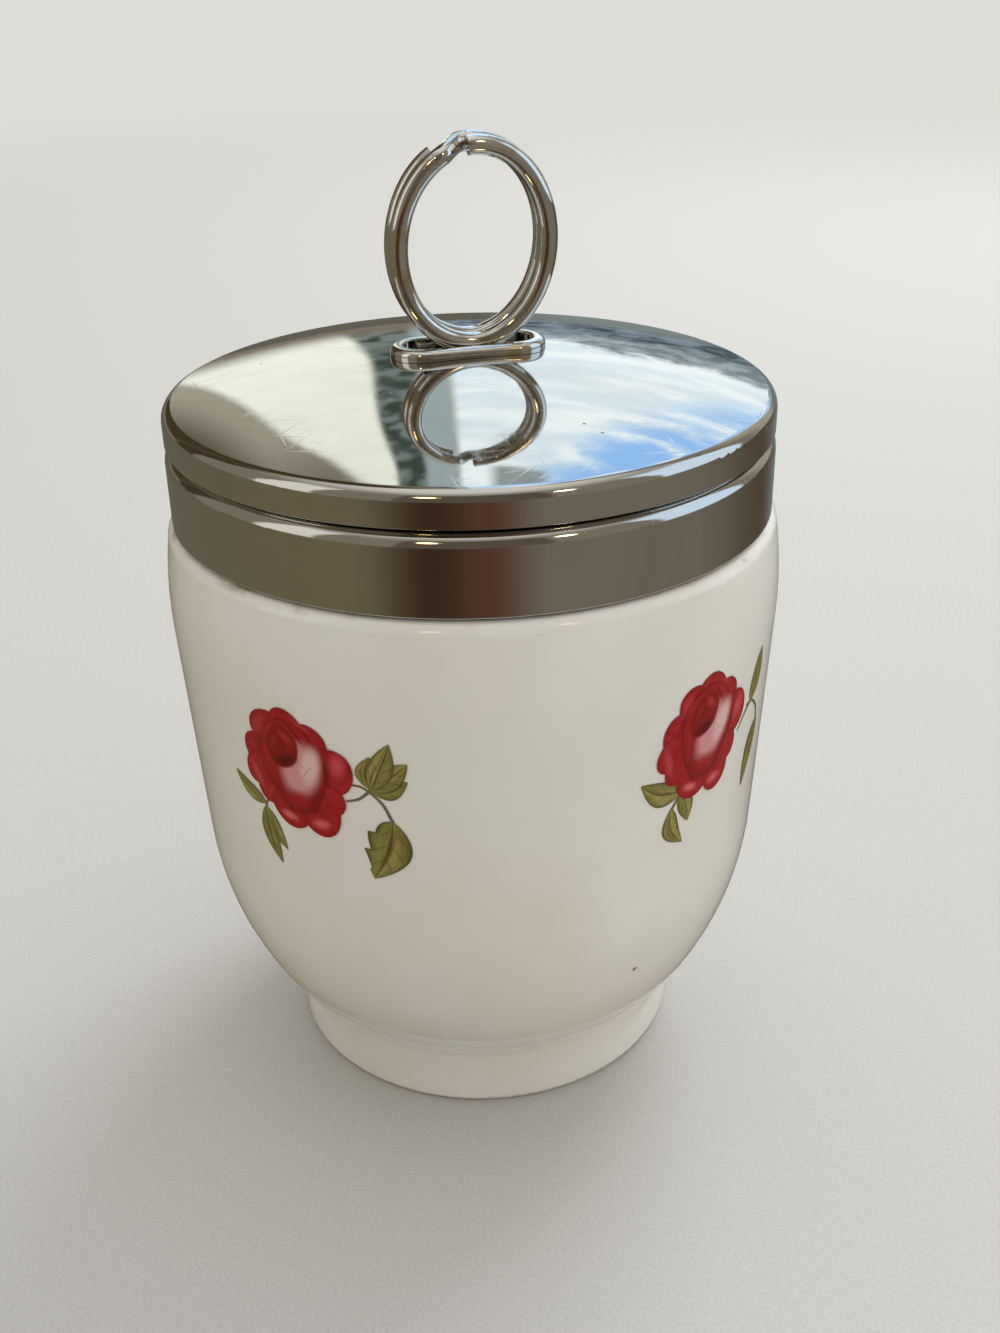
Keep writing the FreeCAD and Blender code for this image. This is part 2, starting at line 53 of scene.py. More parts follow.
def make_camera():
    """The camera at the photograph's viewing angle. The sensor lies along the frame's long side."""
    data = bpy.data.cameras.new("camera")
    data.sensor_width = SENSOR_WIDTH
    data.lens = SENSOR_WIDTH * FOCAL_PIXELS / PHOTO_HEIGHT
    data.clip_start = 0.01
    data.clip_end = 20.0
    camera = new_object("camera", data)
    level = Vector((math.sin(CAMERA_YAW), math.cos(CAMERA_YAW), 0.0))
    side = Vector((math.cos(CAMERA_YAW), -math.sin(CAMERA_YAW), 0.0))
    forward = level * math.cos(CAMERA_PITCH) - Vector((0, 0, math.sin(CAMERA_PITCH)))
    top = level * math.sin(CAMERA_PITCH) + Vector((0, 0, math.cos(CAMERA_PITCH)))
    right = side * math.cos(CAMERA_ROLL) + top * math.sin(CAMERA_ROLL)
    up = top * math.cos(CAMERA_ROLL) - side * math.sin(CAMERA_ROLL)
    turn = Matrix((right, up, -forward)).transposed().to_4x4()
    camera.matrix_world = Matrix.Translation(CAMERA_PLACE) @ turn
    bpy.context.scene.camera = camera


make_camera()


# ---------------------------------------------------------------- node helpers

class Shader:
    """A material or world node tree, built one node at a time. Inputs may be numbers or sockets."""

    def __init__(self, owner):
        owner.use_nodes = True
        self.tree = owner.node_tree
        self.tree.nodes.clear()

    def feed(self, socket, content):
        if isinstance(content, bpy.types.NodeSocket):
            self.tree.links.new(content, socket)
        else:
            socket.default_value = content

    def node(self, kind, inputs=None, **settings):
        made = self.tree.nodes.new(kind)
        for name, setting in settings.items():
            setattr(made, name, setting)
        for key, content in (inputs or {}).items():
            self.feed(made.inputs[key], content)
        return made

    def maths(self, operation, first, second=0.0):
        return self.node("ShaderNodeMath", {0: first, 1: second}, operation=operation).outputs[0]

    def times(self, *factors):
        product = factors[0]
        for factor in factors[1:]:
            product = self.maths("MULTIPLY", product, factor)
        return product

    def plus(self, *terms):
        total = terms[0]
        for term in terms[1:]:
            total = self.maths("ADD", total, term)
        return total

    def span(self, source, low, high, start=0.0, end=1.0):
        """Smooth step from start to end while the source goes from low to high."""
        made = self.node("ShaderNodeMapRange", {"Value": source, "From Min": low, "From Max": high,
                                                "To Min": start, "To Max": end},
                         interpolation_type="SMOOTHSTEP")
        return made.outputs["Result"]

    def between(self, source, low, high, soft):
        """One between two limits and zero outside them, with soft edges."""
        return self.times(self.span(source, low - soft, low + soft),
                          self.span(source, high + soft, high - soft))

    def mix(self, share, first, second):
        """Blend of two colours."""
        made = self.node("ShaderNodeMix", data_type="RGBA")
        for index, content in ((0, share), (6, first), (7, second)):
            self.feed(made.inputs[index], content)
        return made.outputs[2]

    def noise(self, vector, scale, detail=2.0, roughness=0.5):
        made = self.node("ShaderNodeTexNoise", {"Vector": vector, "Scale": scale, "Detail": detail,
                                                "Roughness": roughness})
        return made.outputs["Fac"]

    def stretch(self, vector, scale, rotation=(0.0, 0.0, 0.0)):
        """A vector turned and then scaled, to draw out a texture along one way."""
        turned = self.node("ShaderNodeMapping", {"Vector": vector, "Rotation": rotation})
        made = self.node("ShaderNodeMapping", {"Vector": turned.outputs["Vector"], "Scale": scale})
        return made.outputs["Vector"]

    def object_place(self):
        return self.node("ShaderNodeTexCoord").outputs["Object"]

    def split(self, vector):
        made = self.node("ShaderNodeSeparateXYZ", {"Vector": vector})
        return made.outputs["X"], made.outputs["Y"], made.outputs["Z"]

    def join(self, x=0.0, y=0.0, z=0.0):
        return self.node("ShaderNodeCombineXYZ", {"X": x, "Y": y, "Z": z}).outputs["Vector"]

    def distance(self, vector, point):
        made = self.node("ShaderNodeVectorMath", {0: vector, 1: point}, operation="DISTANCE")
        return made.outputs["Value"]

    def bump(self, height, strength, distance, normal=None):
        inputs = {"Height": height, "Strength": strength, "Distance": distance}
        if normal is not None:
            inputs["Normal"] = normal
        return self.node("ShaderNodeBump", inputs).outputs["Normal"]

    def principled(self, **inputs):
        named = {name.replace("_", " "): content for name, content in inputs.items()}
        return self.node("ShaderNodeBsdfPrincipled", named).outputs["BSDF"]

    def glow(self, shade, strength, kind="ShaderNodeEmission"):
        return self.node(kind, {"Color": shade, "Strength": strength}).outputs[0]

    def choose(self, share, first, second):
        """Blend of two shaders."""
        return self.node("ShaderNodeMixShader", {0: share, 1: first, 2: second}).outputs[0]

    def end(self, shader, kind="ShaderNodeOutputMaterial"):
        self.node(kind, {"Surface": shader})

    def surface(self, **inputs):
        """The Principled shader and the output."""
        self.end(self.principled(**inputs))


def colour(red, green, blue):
    """A colour from its sRGB bytes, in the linear numbers that shaders use."""
    linear = []
    for part in (red, green, blue):
        share = part / 255.0
        linear.append(share / 12.92 if share <= 0.04045 else ((share + 0.055) / 1.055) ** 2.4)
    return (*linear, 1.0)


def new_material(name):
    material = bpy.data.materials.new(name)
    return material, Shader(material)


def dress(node_name, material):
    """Give a CAD node this material in all its slots."""
    mesh = nodes[node_name].data
    mesh.materials.clear()
    mesh.materials.append(material)


def round_axis(shader, place):
    """A place's angle about Z, its distance from Z and its height."""
    x, y, z = shader.split(place)
    radius = shader.maths("SQRT", shader.plus(shader.times(x, x), shader.times(y, y)))
    return shader.maths("ARCTAN2", y, x), radius, z


# ---------------------------------------------------------------- materials of the CAD nodes

CHINA = colour(233, 230, 221)
CHINA_WARM = colour(228, 223, 211)
GLAZE_ROUGHNESS = 0.07
GLAZE_IOR = 1.52
LEDGE_Z = 62.2 * MM
SPECK_PLACE = Vector((14.9, -24.6, 20.2)) * MM


def glazed_china():
    """Warm white china under a clear glaze, with faint mottling, pinholes, and a patchy tea-coloured
    band at the lid's edge.
    """
    material, shader = new_material("glazed_china")
    place = shader.object_place()
    z = shader.split(place)[2]
    mottle = shader.noise(place, 55.0, 3.0)
    body = shader.mix(shader.span(mottle, 0.35, 0.7), CHINA, CHINA_WARM)
    cells = shader.node("ShaderNodeTexVoronoi", {"Vector": place, "Scale": 95.0}, feature="F1")
    rare = shader.span(shader.noise(place, 34.0, 0.0), 0.74, 0.78)
    pinhole = shader.times(shader.span(cells.outputs["Distance"], 0.03, 0.018), rare, 0.6)
    body = shader.mix(pinhole, body, colour(92, 78, 60))
    speck = shader.span(shader.distance(place, SPECK_PLACE), 0.55 * MM, 0.30 * MM)
    body = shader.mix(shader.times(speck, 0.95), body, colour(58, 54, 40))
    # a patchy tea-coloured band, darker than the china, where the lid's edge meets the ledge
    near_lid = shader.between(z, LEDGE_Z - 0.5 * MM, LEDGE_Z + 0.3 * MM, 0.25 * MM)
    patchy = shader.span(shader.noise(place, 160.0, 3.0), 0.5, 0.68)
    body = shader.mix(shader.times(near_lid, patchy, 0.55), body, colour(150, 118, 72))
    # the unglazed ring that the foot stands on
    bare = shader.span(z, 0.35 * MM, 0.15 * MM)
    body = shader.mix(shader.times(bare, 0.8), body, colour(205, 190, 165))
    roughness = shader.span(z, 0.35 * MM, 0.15 * MM, GLAZE_ROUGHNESS, 0.6)
    wave = shader.noise(place, 42.0, 2.0)
    peel = shader.noise(place, 420.0, 1.0)
    normal = shader.bump(peel, 0.04, 0.05 * MM, shader.bump(wave, 0.10, 0.25 * MM))
    shader.surface(Base_Color=body, Roughness=roughness, IOR=GLAZE_IOR, Normal=normal)
    return material


def hairlines(shader, place, turns, pitch, low, high):
    """Thin scratches drawn out along several directions in the XY plane, one after another."""
    total = 0.0
    for number, turn in enumerate(turns):
        offset = shader.node("ShaderNodeVectorMath", {0: place, 1: (0.013 * number, 0.0, 0.0)})
        drawn = shader.stretch(offset.outputs["Vector"], (pitch * 0.035, pitch, pitch * 0.2),
                               (0.0, 0.0, turn))
        line = shader.span(shader.noise(drawn, 1.0, 1.0), low, high)
        total = shader.plus(total, line)
    return shader.maths("MINIMUM", total, 1.0)


def lid_chrome():
    """Mirror chrome with wiping scratches, smears and small dark pits."""
    material, shader = new_material("lid_chrome")
    place = shader.object_place()
    angle, radius, z = round_axis(shader, place)
    patches = shader.span(shader.noise(place, 110.0, 2.0), 0.46, 0.66)
    scratch = shader.times(hairlines(shader, place, (0.35, 1.25, 2.3, 2.9), 2600.0, 0.66, 0.74),
                           patches)
    # fine rings that polishing leaves round the two bands
    rings = shader.noise(shader.join(shader.times(angle, 0.004), radius, z), 3200.0, 3.0, 0.7)
    smear = shader.span(shader.noise(shader.stretch(place, (1.0, 2.2, 1.0), (0.0, 0.0, 0.5)),
                                     75.0, 3.0, 0.6), 0.45, 0.75)
    cells = shader.node("ShaderNodeTexVoronoi", {"Vector": place, "Scale": 420.0}, feature="F1")
    rare = shader.span(shader.noise(place, 120.0, 1.0), 0.62, 0.68)
    pit = shader.times(shader.span(cells.outputs["Distance"], 0.09, 0.05), rare)
    base = shader.mix(shader.times(smear, 0.6), colour(216, 215, 212), colour(203, 201, 196))
    base = shader.mix(shader.times(pit, 0.7), base, colour(84, 78, 68))
    roughness = shader.plus(0.035, shader.times(smear, 0.05), shader.times(scratch, 0.12),
                            shader.times(shader.span(rings, 0.5, 0.8), 0.05),
                            shader.times(pit, 0.3))
    wave = shader.noise(place, 70.0, 1.0)
    normal = shader.bump(scratch, 0.11, 0.008 * MM, shader.bump(wave, 0.06, 0.06 * MM))
    normal = shader.bump(rings, 0.10, 0.006 * MM, normal)
    shader.surface(Base_Color=base, Metallic=1.0, Roughness=roughness, Normal=normal)
    return material


def wire_chrome():
    """Chrome of the lifting ring and its socket, rubbed warmer where it has worn."""
    material, shader = new_material("wire_chrome")
    place = shader.object_place()
    worn = shader.span(shader.noise(place, 230.0, 3.0, 0.6), 0.5, 0.7)
    fine = shader.noise(shader.stretch(place, (900.0, 900.0, 2400.0)), 1.0, 3.0, 0.7)
    base = shader.mix(worn, colour(226, 226, 223), colour(206, 194, 168))
    roughness = shader.plus(0.06, shader.times(worn, 0.10),
                            shader.times(shader.span(fine, 0.5, 0.8), 0.08))
    wave = shader.noise(place, 340.0, 1.0)
    normal = shader.bump(fine, 0.08, 0.01 * MM, shader.bump(wave, 0.12, 0.08 * MM))
    shader.surface(Base_Color=base, Metallic=1.0, Roughness=roughness, Normal=normal)
    return material


def turned_brass():
    """Dull brass of the hidden ring, with the fine rings that a lathe leaves."""
    material, shader = new_material("turned_brass")
    place = shader.object_place()
    z = shader.split(place)[2]
    rings = shader.noise(shader.join(0.0, 0.0, z), 4200.0, 2.0)
    tarnish = shader.span(shader.noise(place, 120.0, 3.0), 0.35, 0.7)
    base = shader.mix(tarnish, colour(196, 172, 112), colour(150, 122, 72))
    roughness = shader.plus(0.28, shader.times(tarnish, 0.14))
    shader.surface(Base_Color=base, Metallic=1.0, Roughness=roughness,
                   Normal=shader.bump(rings, 0.3, 0.02 * MM))
    return material


dress("porcelain_cup", glazed_china())
pressed_chrome = lid_chrome()
dress("lid_dome", pressed_chrome)
dress("screw_band", pressed_chrome)
fitting_chrome = wire_chrome()
dress("ring_socket", fitting_chrome)
dress("lifting_ring", fitting_chrome)
dress("thread_ring", turned_brass())


# ---------------------------------------------------------------- rose sprigs on the china

LIFT = 0.02 * MM            # lowest layer of paint above the china
LAYER_STEP = 0.005 * MM     # one layer of paint above another


def painted(name, paint):
    """A glazed enamel. paint(shader, across, along, seed) gives its colour, across from -1 to 1."""
    material, shader = new_material(name)
    stroke = shader.node("ShaderNodeAttribute", attribute_name="stroke").outputs["Vector"]
    base = paint(shader, *shader.split(stroke))
    shader.surface(Base_Color=base, Roughness=GLAZE_ROUGHNESS + 0.03, IOR=GLAZE_IOR)
    return material


def brush(shader, across, along, seed, fineness):
    """Brush marks that run along a petal."""
    vector = shader.join(shader.times(across, fineness), shader.times(along, 1.3),
                         shader.times(seed, 7.31))
    return shader.noise(vector, 1.0, 3.0, 0.65)


DABS = [  # middle (u, v), half length, half width, turn in degrees, soft share, strength, colour
    ((3.9, 0.6), 3.0, 0.55, 84, 0.9, 0.8, (118, 6, 14)),
    ((1.0, -4.5), 2.6, 0.7, 12, 0.9, 0.8, (122, 6, 14)),
    ((-4.1, 1.2), 3.0, 0.5, 82, 0.9, 0.6, (126, 10, 18)),
    ((5.1, 1.6), 2.0, 1.3, 80, 0.95, 0.9, (206, 76, 90)),
    ((2.6, -5.5), 1.5, 0.8, 14, 0.9, 1.0, (212, 92, 94)),
    ((-1.1, -5.6), 1.4, 0.65, -8, 0.9, 1.0, (214, 108, 106)),
    ((-4.8, -2.2), 2.2, 0.7, -66, 0.9, 0.8, (194, 70, 76)),
    ((-3.8, 3.6), 1.8, 0.9, 70, 0.9, 0.7, (184, 54, 58)),
    ((1.6, 5.0), 1.7, 0.5, -22, 0.9, 0.6, (182, 52, 56)),
    ((0.9, 0.1), 4.0, 2.7, 68, 0.5, 1.0, (210, 146, 146)),
    ((2.1, 0.8), 3.0, 1.4, 72, 0.7, 0.9, (228, 190, 186)),
    ((0.2, -3.4), 3.0, 1.5, 8, 0.9, 0.9, (160, 18, 28)),
    ((1.6, 0.0), 1.4, 0.12, 52, 0.9, 0.6, (152, 118, 118)),
    ((1.2, 0.6), 0.8, 0.10, -38, 0.9, 0.5, (152, 118, 118)),
    ((0.8, 4.0), 1.9, 0.35, -48, 0.9, 0.8, (116, 4, 10)),
    ((-1.0, 2.1), 2.6, 2.1, 70, 0.16, 1.0, (136, 10, 16)),
    ((-0.7, 0.7), 2.0, 0.8, 22, 0.6, 1.0, (96, 0, 6)),
    ((-0.4, 3.3), 1.4, 0.7, -34, 0.9, 0.9, (176, 44, 44)),
    ((-1.9, 2.5), 1.3, 0.4, 66, 0.9, 0.7, (166, 34, 36)),
    ((-0.2, 2.0), 1.0, 0.35, 70, 0.9, 0.6, (158, 26, 28)),
]


def rose_paint(shader, across, along, seed):
    """A petal, dark at its root and edges, with soft dabs of other tones laid over the flower."""
    marks = brush(shader, across, along, seed, 2.0)
    tone = shader.mix(shader.span(along, 0.0, 0.55), colour(116, 4, 10), colour(160, 20, 28))
    tone = shader.mix(shader.times(shader.span(marks, 0.42, 0.68), 0.5), tone,
                      colour(184, 50, 56))
    side = shader.span(shader.maths("ABSOLUTE", across), 0.66, 1.0)
    edge = shader.maths("MAXIMUM", side, shader.span(along, 0.88, 1.0))
    tone = shader.mix(shader.times(edge, 0.45), tone, colour(130, 12, 24))
    spot = shader.node("ShaderNodeAttribute", attribute_name="spot").outputs["Vector"]
    for middle, length, width, turn, soft, strength, shade in DABS:
        local = shader.node("ShaderNodeMapping",
                            {"Vector": spot, "Location": (*middle, 0.0),
                             "Rotation": (0.0, 0.0, math.radians(turn)),
                             "Scale": (length, width, 1.0)}, vector_type="TEXTURE")
        reach = shader.distance(local.outputs["Vector"], (0.0, 0.0, 0.0))
        share = shader.times(shader.span(reach, 1.0, 1.0 - soft), strength)
        tone = shader.mix(share, tone, colour(*shade))
    return tone


def leaf_paint(shader, across, along, seed):
    """Olive leaf with a dark outline, a midrib and slanting veins."""
    size = shader.maths("ABSOLUTE", across)
    marks = brush(shader, across, along, seed, 2.5)
    tone = shader.mix(shader.span(marks, 0.36, 0.62), colour(118, 110, 50), colour(158, 148, 84))
    tone = shader.mix(shader.span(across, -0.1, 0.5, 0.0, 0.6), tone, colour(124, 118, 58))
    rib = shader.times(shader.span(size, 0.15, 0.03), 0.8)
    phase = shader.plus(shader.times(along, 4.0), shader.times(size, -0.9))
    slant = shader.maths("ABSOLUTE", shader.plus(shader.maths("FRACT", phase), -0.5))
    vein = shader.times(shader.span(slant, 0.12, 0.02), 0.4)
    dark = shader.maths("MAXIMUM", shader.maths("MAXIMUM", rib, vein),
                        shader.times(shader.span(size, 0.70, 1.0), 0.85))
    return shader.mix(dark, tone, colour(76, 70, 38))


def stem_paint(shader, across, along, seed):
    marks = brush(shader, across, shader.times(along, 4.0), seed, 1.0)
    return shader.mix(marks, colour(98, 84, 62), colour(134, 122, 94))


ENAMELS = {
    "rose": painted("rose", rose_paint),
    "leaf": painted("leaf", leaf_paint),
    "stem": painted("stem", stem_paint),
}

# Petals and leaves: enamel, outline, root (u, v), tip (u, v), width, sideways bend. Millimetres
# from the rose's middle, u to the right round the cup and v up. Later ones lie over earlier ones.
ROSE = [
    ("rose", "petal", (-1.0, 1.0), (-4.2, 5.0), 4.3, 0.05),
    ("rose", "petal", (0.6, 1.0), (3.3, 4.9), 4.2, -0.05),
    ("rose", "petal", (-0.4, 1.0), (-0.6, 6.4), 4.2, 0.02),
    ("rose", "petal", (-1.0, 0.2), (-6.1, 1.2), 4.4, -0.06),
    ("rose", "petal", (-0.8, -0.6), (-6.2, -2.4), 3.8, 0.08),
    ("rose", "petal", (-0.6, -1.0), (-4.5, -4.5), 3.6, 0.06),
    ("rose", "petal", (1.4, 0.6), (6.6, 1.4), 4.9, 0.03),
    ("rose", "petal", (-0.2, -1.6), (-1.0, -6.9), 4.4, 0.04),
    ("rose", "petal", (0.8, -1.4), (3.6, -6.7), 4.4, -0.05),
    ("rose", "petal", (1.8, -1.6), (5.4, -3.3), 3.4, -0.06),
    ("rose", "petal", (0.5, -4.6), (-0.9, 5.2), 7.8, 0.02),
]
WIDE_LEAVES = [
    ("leaf", "narrow", (-4.3, -5.5), (-8.6, -3.2), 1.8, -0.08),
    ("leaf", "narrow", (-4.2, -6.0), (-2.1, -10.2), 1.7, 0.06),
    ("leaf", "narrow", (-4.4, -5.8), (-3.1, -12.2), 2.1, 0.08),
    ("leaf", "narrow", (8.2, -0.5), (11.9, 0.9), 2.0, 0.12),
    ("leaf", "narrow", (8.2, -0.4), (12.0, 2.8), 2.6, 0.02),
    ("leaf", "narrow", (8.2, -0.4), (8.4, 3.2), 1.9, -0.14),
    ("leaf", "narrow", (8.3, -0.3), (10.4, 4.8), 2.5, 0.02),
    ("leaf", "toothed", (10.1, -3.7), (7.7, -10.6), 4.5, -0.06),
]
WIDE_STEMS = [
    [(5.6, -2.2), (6.9, -1.7), (7.8, -0.9), (8.3, -0.3)],
    [(6.3, -0.2), (7.6, -0.4), (9.2, -1.8), (10.1, -3.8)],
    [(-3.6, -4.6), (-4.2, -5.3), (-4.4, -6.2)],
]
SLIM_LEAVES = [
    ("leaf", "narrow", (-2.6, -5.3), (-8.2, -3.0), 2.8, -0.12),
    ("leaf", "narrow", (-3.0, -5.7), (-1.7, -9.4), 2.1, -0.06),
    ("leaf", "narrow", (-4.2, -7.1), (-2.2, -11.7), 2.1, 0.16),
    ("leaf", "narrow", (8.6, -0.4), (10.6, 5.0), 2.4, 0.04),
    ("leaf", "narrow", (11.4, -3.6), (8.7, -10.6), 2.4, 0.04),
]
SLIM_STEMS = [
    [(5.9, -2.6), (7.2, -1.4), (8.6, -0.4)],
    [(7.6, -0.5), (9.0, -0.5), (10.7, -1.9), (11.4, -3.8)],
    [(-2.6, -5.0), (-3.3, -6.0), (-4.2, -7.3)],
]
STEM_WIDTH, STEM_STEPS = 0.3, 8     # in mm, and steps of the line between two of a stem's points
SPRIGS = [  # name, degrees round from the front, height in mm, the rose's turn, leaves, stems
    ("front_left", -33.8, 45.7, 0.0, WIDE_LEAVES, WIDE_STEMS),
    ("front_right", 43.5, 46.4, -9.0, SLIM_LEAVES, SLIM_STEMS),
    ("right", 118.0, 45.6, -3.0, WIDE_LEAVES, WIDE_STEMS),
    ("back", 184.0, 44.6, -6.0, SLIM_LEAVES, SLIM_STEMS),
    ("left", -110.8, 45.9, 3.0, WIDE_LEAVES, WIDE_STEMS),
]


WALL_RADIUS = 29.9 * MM     # the cup's wall is wider than this, its foot and its neck are narrower


def cup_profile():
    """The outer radius of the cup's wall at each height, from its own mesh."""
    widest = {}
    for vertex in nodes["porcelain_cup"].data.vertices:
        place = nodes["porcelain_cup"].matrix_world @ vertex.co
        height = round(place.z, 6)
        widest[height] = max(widest.get(height, 0.0), math.hypot(place.x, place.y))
    return sorted((z, radius) for z, radius in widest.items() if radius > WALL_RADIUS)


def profile_radius(profile, z):
    """The wall's radius at a height between two of the mesh's own."""
    for (low, first), (high, second) in zip(profile, profile[1:]):
        if low <= z <= high and high > low:
            return first + (second - first) * (z - low) / (high - low)
    raise RuntimeError("no china at this height")


PETAL_ROOT = 0.42           # a petal's width at its root, as a share of its greatest
PETAL_WIDEST = 0.58         # where a petal is widest, as a share of its length
PETAL_RIPPLE, PETAL_RIPPLES = 0.07, 5.0
PETAL_DENT = 0.05           # notch in the middle of a petal's tip, as a share of its length
TEETH, TOOTH_START, TOOTH_DEPTH = 3.5, 1.12, 0.36
PETAL_STEPS, LEAF_STEPS, COLUMNS = 34, 48, 9


def half_width(outline, across, along):
    """Half of a petal's or leaf's width at a share of its length, as a share of the greatest."""
    if outline == "petal":
        if along < PETAL_WIDEST:
            swell = math.sin(math.pi / 2 * along / PETAL_WIDEST)
            return PETAL_ROOT + (1.0 - PETAL_ROOT) * swell
        beyond = (along - PETAL_WIDEST) / (1.0 - PETAL_WIDEST)
        return math.sqrt(max(1.0 - beyond ** 2, 0.0))
    smooth = math.sin(math.pi * along ** 0.8) ** 0.85
    if outline == "narrow" or across < 0.0:
        return smooth
    tooth = (along * TEETH) % 1.0
    return smooth * (TOOTH_START - TOOTH_DEPTH * tooth)


class Canvas:
    """A mesh of paint that lies on the cup, built up patch by patch."""

    def __init__(self, profile, degrees, height):
        self.profile = profile
        self.azimuth = math.radians(degrees)
        self.height = height * MM
        self.turn = 0.0
        self.points, self.faces, self.strokes, self.spots, self.kinds = [], [], [], [], []
        self.layer = 0

    def place(self, u, v):
        """A point of the flat drawing, in millimetres, laid on the cup."""
        right = (u * math.cos(self.turn) - v * math.sin(self.turn)) * MM
        z = self.height + (u * math.sin(self.turn) + v * math.cos(self.turn)) * MM
        radius = profile_radius(self.profile, z)
        angle = self.azimuth + right / radius
        out = radius + LIFT + LAYER_STEP * self.layer
        return (out * math.sin(angle), -out * math.cos(angle), z)

    def add_grid(self, rows, kind, seed):
        """Rows of (u, v, across, along) make one patch."""
        first = len(self.points)
        columns = len(rows[0])
        for row in rows:
            for u, v, across, along in row:
                self.points.append(self.place(u, v))
                self.strokes.append((across, along, seed))
                self.spots.append((u, v, 0.0))
        for r in range(len(rows) - 1):
            for c in range(columns - 1):
                corner = first + r * columns + c
                self.faces.append((corner, corner + 1, corner + columns + 1, corner + columns))
                self.kinds.append(kind)
        self.layer += 1

    def add_petal(self, kind, outline, root, tip, width, bend, seed):
        """A petal or leaf, from root to tip, whose sides follow half_width."""
        axis = Vector(tip) - Vector(root)
        length = axis.length
        axis.normalize()
        side = Vector((axis.y, -axis.x))
        ripple = random.Random(seed)
        phases = [ripple.uniform(0.0, 2 * math.pi) for _ in range(2)]
        is_petal = outline == "petal"
        steps = PETAL_STEPS if is_petal else LEAF_STEPS
        rows = []
        for step in range(steps + 1):
            share = step / steps
            along = math.sin(share * math.pi / 2) if is_petal else share
            middle = bend * length * math.sin(math.pi * along)
            row = []
            for column in range(COLUMNS):
                across = -1.0 + 2.0 * column / (COLUMNS - 1)
                wave, dent = 1.0, 0.0
                if is_petal:
                    wave += PETAL_RIPPLE * math.sin(PETAL_RIPPLES * along + phases[across > 0])
                    dent = PETAL_DENT * length * (1.0 - across * across) * along ** 6
                reach = across * width / 2 * half_width(outline, across, along) * wave
                spot = Vector(root) + axis * (along * length - dent) + side * (reach + middle)
                row.append((spot.x, spot.y, across, along))
            rows.append(row)
        self.add_grid(rows, kind, seed)

    def add_stem(self, line, seed):
        """A thin stroke through the given points."""
        smooth = spline(line, STEM_STEPS)
        rows = []
        for index, point in enumerate(smooth):
            before, after = smooth[max(index - 1, 0)], smooth[min(index + 1, len(smooth) - 1)]
            axis = (after - before).normalized()
            side = Vector((axis.y, -axis.x))
            along = index / (len(smooth) - 1)
            width = STEM_WIDTH * (0.75 + 0.5 * along)
            row = []
            for across in (-1.0, 0.0, 1.0):
                spot = point + side * (across * width / 2)
                row.append((spot.x, spot.y, across, along))
            rows.append(row)
        self.add_grid(rows, "stem", seed)

    def finish(self, name):
        """The finished mesh as a piece that rides on the cup."""
        mesh = bpy.data.meshes.new(name)
        mesh.from_pydata(self.points, [], self.faces)
        kinds = list(ENAMELS)
        for kind in kinds:
            mesh.materials.append(ENAMELS[kind])
        for polygon, kind in zip(mesh.polygons, self.kinds):
            polygon.material_index = kinds.index(kind)
            polygon.use_smooth = True
        for title, contents in (("stroke", self.strokes), ("spot", self.spots)):
            attribute = mesh.attributes.new(title, "FLOAT_VECTOR", "POINT")
            for index, content in enumerate(contents):
                attribute.data[index].vector = content
        mesh.update()
        piece = new_object(name, mesh)
        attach(piece, "cup")


def spline(points, steps):
    """Points of a smooth line through the given points."""
    knots = [Vector(point) for point in points]
    knots = [knots[0] * 2 - knots[1]] + knots + [knots[-1] * 2 - knots[-2]]
    line = []
    for index in range(1, len(knots) - 2):
        a, b, c, d = knots[index - 1:index + 3]
        for step in range(steps):
            t = step / steps
            line.append(0.5 * (2 * b + (c - a) * t + (2 * a - 5 * b + 4 * c - d) * t * t
                               + (3 * b - a - 3 * c + d) * t ** 3))
    line.append(knots[-2])
    return line


def make_sprigs():
    """Rose sprigs round the cup: stems first, then leaves, then the rose over them."""
    profile = cup_profile()
    seed = 1
    for name, degrees, height, turn, leaves, stems in SPRIGS:
        canvas = Canvas(profile, degrees, height)
        for line in stems:
            canvas.add_stem(line, seed)
            seed += 1
        for kind, outline, root, tip, width, bend in leaves + ROSE:
            if kind == "rose":
                canvas.turn = math.radians(turn)
            canvas.add_petal(kind, outline, root, tip, width, bend, seed)
            seed += 1
        canvas.finish("sprig_" + name)


make_sprigs()


# ---------------------------------------------------------------- stage and light

GLOSS_STRENGTH = 1.4        # how bright reflections see the room and the glowing sheet of painted reflection
BACKDROP = colour(221, 220, 215)
FLOOR_HALF = 3.0
FADE_START, FADE_END = 0.25, 1.0    # distances between which the floor turns into the backdrop


def make_floor():
    """A plain pale worktop with a fine grain. Far off, the camera sees the backdrop's colour."""
    mesh = bpy.data.meshes.new("floor")
    corners = [(x * FLOOR_HALF, y * FLOOR_HALF, 0) for x, y in ((-1, -1), (1, -1), (1, 1), (-1, 1))]
    mesh.from_pydata(corners, [], [(0, 1, 2, 3)])
    floor = new_object("floor", mesh)
    material, shader = new_material("floor")
    place = shader.object_place()
    grain = shader.noise(place, 2600.0, 1.0)
    tone = shader.mix(shader.span(grain, 0.35, 0.7), colour(195, 193, 187), colour(188, 186, 180))
    seen = shader.node("ShaderNodeLightPath").outputs["Is Camera Ray"]
    far = shader.span(shader.distance(place, (0.0, 0.0, 0.0)), FADE_START, FADE_END)
    shader.end(shader.choose(shader.times(seen, far),
                             shader.principled(Base_Color=tone, Roughness=0.65),
                             shader.glow(BACKDROP, 1.0)))
    mesh.materials.append(material)
